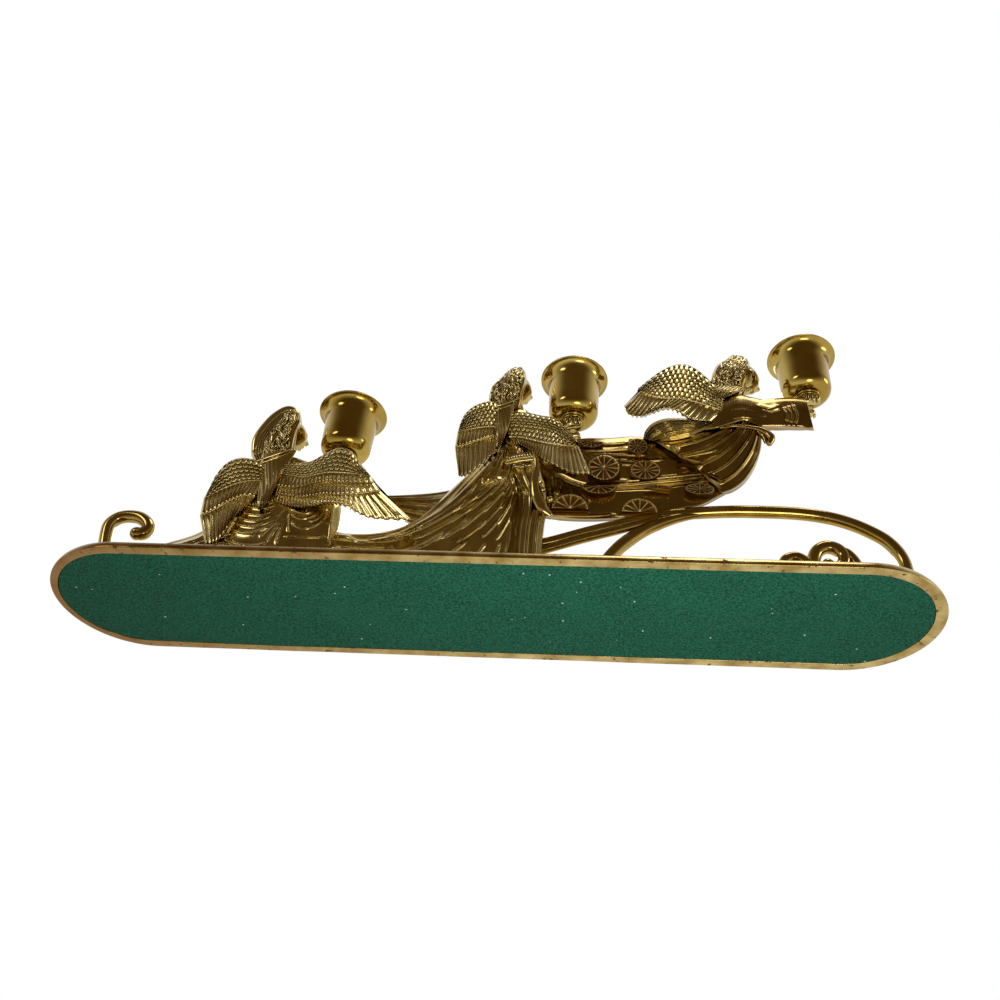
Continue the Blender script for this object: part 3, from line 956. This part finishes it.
            (1.3, 1.0, (58, 95.3), (66, 94.2), (74, 94.5), (84, 95.5)), (1.2, 0.9, (60, 91.5), (64, 91.5), (70, 92)),
            (1.9, 1.0, (26, 83.5), (31, 82.5), (37, 79), (45, 76.3), (54, 77), (64, 78.3), (76, 80.5), (90, 82.5),
             (105, 85)),
            (1.3, 0.9, (56, 80.5), (68, 81), (80, 83), (92, 84.8), (103, 87)),
            (1.9, 1.1, (41, 77.5), (46, 74.5), (56, 74.5), (68, 75.5), (80, 76.5), (92, 79.5), (106, 82.5)),
            (1.4, 0.9, (26.3, 84), (26.5, 76), (26, 68), (25.8, 60)), (1.4, 0.9, (31, 82.5), (30.5, 76), (29, 70)),
            (1.2, 0.8, (106, 83), (110.5, 80), (111, 76)), (1.5, 1.0, (24, 57.2), (36, 57), (48, 57.2), (60, 58.8)),
        ]},
    "upperScarf": {
        "node": "upper_scarf", "grid": (100, 150), "power": 0.5,
        "left": [(72.3, 110), (73.5, 115.5), (77, 120.8), (82.5, 124.2), (89, 125.3), (96, 125), (103, 126),
                 (109, 131)],
        "right": [(78, 107.8), (82, 108), (87, 108.5), (92, 109.8), (97, 112), (102, 115.5), (108, 119.5), (115, 125)],
        "middle": [-1.5, -2, -3, -3.5, -4, -4, -4, -4], "half": [3.5, 4.5, 5, 5, 5.5, 6, 6, 5.5],
        "folds": [0, 0.12, 0.25, 0.4, 0.58, 0.78, 1], "relief": 1.5, "drift": 0.15},
    "upperSleeve": {
        "node": "upper_sleeve", "grid": (150, 200), "power": 0.5,
        "left": [(104, 128), (109.5, 133), (115.5, 140), (122.5, 144), (129.5, 142), (136.5, 140.4), (145.5, 141.8),
                 (152.5, 142.2), (157.8, 141.4)],
        "right": [(103, 116), (110, 117.5), (117, 120.5), (125, 123.2), (132, 120.2), (140, 119.5), (147.5, 119.2),
                  (153.5, 118.8), (159, 118.4)],
        "middle": [-4.5, -6, -6.5, -6.5, -6, -6, -6, -6.5, -6.5], "half": [3.5, 4.5, 5, 5, 4.5, 4, 4, 4, 4],
        "back": [3.5, 4.5, 5, 5, 4, 3, 2.5, 2, 2], "folds": 3, "relief": 0.1,
        "lines": [
            (0.4, 1.2, (118, 125.5), (124, 127), (131, 126), (138, 128)),
            (0.3, 1.2, (117, 131), (124, 132.5), (131, 130.5)), (1.0, 0.7, (145.5, 135), (147.3, 130), (146, 124)),
            (1.0, 0.7, (147.6, 136), (149.6, 130), (148, 123)), (1.0, 0.7, (150, 137), (152, 130), (150.5, 122.5)),
            (0.9, 0.8, (132, 136), (138, 134), (143, 136)), (0.9, 0.8, (134, 133), (139, 131.5), (144, 133)),
            (1.3, 0.8, (124, 123.5), (131, 120.8), (140, 120.5), (150, 120.5), (157, 119.8)),
        ]},
}


def depthOn(skin, path):
    # the depth of a front skin at places seen on it: that of its nearest point
    front = skin[:, :skin.shape[1] // 2].reshape(-1, 3)
    near = front[:, 1:2] / -viewer["place"][1]
    seen = (front[:, ::2] + np.array(viewer["place"][::2]) * near) / (1 + near)
    return front[((seen[None] - path[:, None]) ** 2).sum(-1).argmin(1), 1]


for name, look in cloths.items():
    skin = cloth(look)
    parts = [skin]
    for *path, count, size in look.get("beads", []):
        path = shared(path, np.linspace(0, 1, count))
        places = alongSight(path[:, 0], path[:, 1], depthOn(skin, path) - 0.2)
        parts.append(balls(places, np.full(count, size), 8))
    for path, radii, depth in look.get("cords", []):
        parts.append(cord(path, depth, radii, 12, 40))
    addPiece(name, parts, robeBrass if name in robes else castBrass, "cast_brass", look["node"])
print("cloth made")

# sash of the middle angel: a cord-wound band, its ribbon and the loose end, with a bead
sash = {
    "band": [(3.5, 92.5), (8, 94.2), (13, 95.3), (18.5, 96.3)],
    # each turn of the cord slants over the band: across, up and depth
    "turn": [(-1.3, -1.9, -11.4), (0, 0, -12.9), (1.3, 1.9, -11.4)], "turns": 11, "edges": (-2.3, 2.3),
    "ribbon": [(16.5, 101), (18.3, 95), (18.8, 88), (18, 82), (18.2, 76), (19.5, 69), (22.5, 62), (26.5, 57.5)],
    "ribbonDepth": [-12.5, -12.8, -12.2, -11.6, -11, -10, -8.8, -7.0],
    "ribbonRadii": [1.2, 1.6, 1.5, 1.6, 1.9, 2.5, 2.8, 1.4],
    "knot": [(20.5, 99), (23.5, 97.5), (24.5, 94.5), (22.5, 92.5), (26.5, 91), (30, 92)],
    "beads": [(25.9, 66.8, -7.5), (22.2, 73.3, -8.8)],
}
band = np.array(sash["band"])
across, up = shared(band, np.linspace(0.05, 0.95, sash["turns"])).T
winds = np.stack([alongSight(across + x, up + z, depth) for x, z, depth in sash["turn"]], 1)
sashParts = [rods(winds, [0.75, 0.95, 0.75], 10, 12)]
for lift in sash["edges"]:
    sashParts.append(cord(band + (0, lift), -11.6, [0.75, 0.75], 10, 30))
sashParts.append(cord(sash["ribbon"], sash["ribbonDepth"], sash["ribbonRadii"], 16, 70, 0.6))
sashParts.append(cord(sash["knot"], -11.5, [1.0, 1.4, 1.3, 1.2, 1.0], 12, 50))
sashParts.append(balls(alongSight(*np.transpose(sash["beads"])), [1.9, 1.7]))
addPiece("middleSash", sashParts, castBrass, "cast_brass", "middle_sash")

# medallions on the mantle: a ring round a wheel of spokes
wheels = [
    # across, up, half width, half height, hidden side (1 above, -1 below, 0 none)
    (46.0, 107.0, 6.0, 4.2, 1), (52.3, 89.0, 8.2, 8.8, 0), (73.0, 88.0, 7.6, 6.6, 0), (50.0, 77.0, 9.0, 5.6, 1),
    (99.0, 76.2, 7.2, 3.6, 0), (36.0, 61.5, 9.2, 9.4, -1), (69.5, 60.5, 8.8, 8.6, -1), (78.5, 76.0, 6.6, 2.2, -1),
    (69.5, 104.5, 5.0, 5.5, 0),
]


def wheel(across, up, wide, tall, hidden):
    # a thin disc in relief: a beaded rim at its edge and 12 rounded spokes that meet on a hub. A half wheel is
    # the same disc with every height beyond its cut line pressed onto that line.
    spokes, beads, columns = 12, 28, 168
    radius = np.concatenate([np.linspace(0.02, 0.8, 14), np.linspace(0.84, 1.0, 9)])[:, None]
    angle = np.linspace(0, 2 * np.pi, columns, endpoint=False)[None]
    spoke = (np.cos(spokes / 2 * angle + 0.3) ** 2) ** (2 + 9 * radius)
    rim = np.exp(-((radius - 0.91) / 0.05) ** 2) * (0.75 + 0.35 * np.cos(beads * angle))
    hub = np.exp(-(radius / 0.14) ** 2)
    raised = 0.1 + 1.5 * np.maximum(np.maximum(spoke * (radius < 0.85), rim), hub)
    raised = raised * np.where(radius > 0.985, 0.1, 1)
    x, z = across + wide * radius * np.cos(angle), up + tall * radius * np.sin(angle)
    if hidden:
        z = np.where(hidden * (z - up) > 0, up, z)
    front = -5.4 - raised
    back = alongSight(x, z, np.full_like(front, -1.5), front)
    return np.concatenate([alongSight(x, z, front, front), back[-1:], back[:1]])


addPiece("upperMedallions", [wheel(*look) for look in wheels], wheelBrass, "cast_brass", "upper_medallions")
print("trims made")

# what is left of the CAD nodes: the screws under the cups and the base
for name, material in (("base_screws", screwSteel), ("lower_cup_screw", rodBrass),
                       ("middle_cup_screw", rodBrass), ("upper_cup_screw", rodBrass)):
    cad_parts[name].data.materials.clear()
    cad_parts[name].data.materials.append(material)

# floor, lamps and pale surroundings
floorLook = {"paper": "#c3c3c1", "glow": 0.76}


def addFloor():
    # A pale floor under the base. It is seen only from above, because the photograph looks up at the felt.
    mesh = bpy.data.meshes.new("floor")
    mesh.from_pydata([(-9, -9, 0), (9, -9, 0), (9, 9, 0), (-9, 9, 0)], [], [(0, 1, 2, 3)])
    material, tree = newTree("paleFloor")
    under = addNode(tree, "NewGeometry").outputs["Backfacing"]
    seen = addNode(tree, "LightPath").outputs["Is Camera Ray"]
    glow = addNode(tree, "Math", {"operation": "MULTIPLY"}, {0: seen, 1: floorLook["glow"]})
    paper = addNode(tree, "BsdfDiffuse", inputs={"Color": floorLook["paper"]})
    veil = addNode(tree, "Emission", inputs={"Color": "#ffffff", "Strength": glow})
    paint = addNode(tree, "AddShader", inputs={0: paper, 1: veil})
    clear = addNode(tree, "BsdfTransparent")
    mix = addNode(tree, "MixShader", inputs={0: under, 1: paint, 2: clear})
    addNode(tree, "OutputMaterial", inputs={"Surface": mix})
    mesh.materials.append(material)
    ground = bpy.data.objects.new("floor", mesh)
    scene.collection.objects.link(ground)
    ground.visible_diffuse = False
    ground.visible_glossy = False
    ground.visible_transmission = False
    ground.visible_shadow = False


sky = {
    "dimWall": (0.0, -0.92, 0.39), "start": 0.0, "full": 0.8, "white": "#ebebed", "wall": "#5e4d33", "soft": 0.12,
}


def addSky():
    # The surroundings: white to the camera and softer where they light the felt. The metal shows them too: a
    # white room with a dim wall in front, as dot(direction, dimWall) nears 1.
    world = bpy.data.worlds.new("pale")
    scene.world = world
    world.use_nodes = True
    tree = world.node_tree
    tree.nodes.clear()
    ray = addNode(tree, "LightPath").outputs
    clear = addNode(tree, "Math", {"operation": "MAXIMUM"}, {0: ray["Is Camera Ray"], 1: ray["Is Transmission Ray"]})
    toward = addNode(tree, "TexCoord").outputs["Generated"]
    facing = addNode(tree, "VectorMath", {"operation": "DOT_PRODUCT"}, {0: toward, 1: sky["dimWall"]})
    wall = addNode(tree, "MapRange", {"interpolation_type": "SMOOTHSTEP"}, {
        "Value": facing.outputs["Value"], "From Min": sky["start"], "From Max": sky["full"]})
    room = addNode(tree, "Mix", colours, {"Factor": wall, 6: sky["white"], 7: sky["wall"]}).outputs[2]
    colour = addNode(tree, "Mix", colours, {"Factor": ray["Is Glossy Ray"], 6: "#ffffff", 7: room}).outputs[2]
    seen = addNode(tree, "Math", {"operation": "MAXIMUM"}, {0: clear, 1: ray["Is Glossy Ray"]})
    lit = addNode(tree, "Math", {"operation": "MULTIPLY"}, {0: ray["Is Diffuse Ray"], 1: sky["soft"]})
    level = addNode(tree, "Math", {"operation": "MAXIMUM"}, {0: seen, 1: lit})
    back = addNode(tree, "Background", inputs={"Color": colour, "Strength": level})
    addNode(tree, "OutputWorld", inputs={"Surface": back})


lamps = {
    # place in metres, size in metres, watts
    "below": ((0.3, -0.7, -0.7), 0.4, 1.6),
    "feltSide": ((0.08, -0.2, -0.27), 0.1, 1.25),
    "frontLeft": ((-0.8, -0.8, 0.55), 0.36, 1.2),
    "right": ((1.1, -0.15, 0.3), 0.36, 1.2),
    "above": ((0.25, -0.15, 1.2), 0.5, 2.6),
    "behind": ((-0.2, 1.0, 0.7), 0.5, 2.4),
}


def addLamps():
    for name, (place, size, watts) in lamps.items():
        data = bpy.data.lights.new(name, "AREA")
        data.shape = "DISK"
        data.size = size
        data.energy = watts
        lamp = bpy.data.objects.new(name, data)
        lamp.location = place
        lamp.rotation_euler = (Vector((0, 0, 0.07)) - Vector(place)).to_track_quat("-Z", "Y").to_euler()
        scene.collection.objects.link(lamp)
        lamp.visible_glossy = name != "feltSide"


addFloor()
addSky()
addLamps()
scene.view_settings.view_transform = "Standard"
print("stage set")
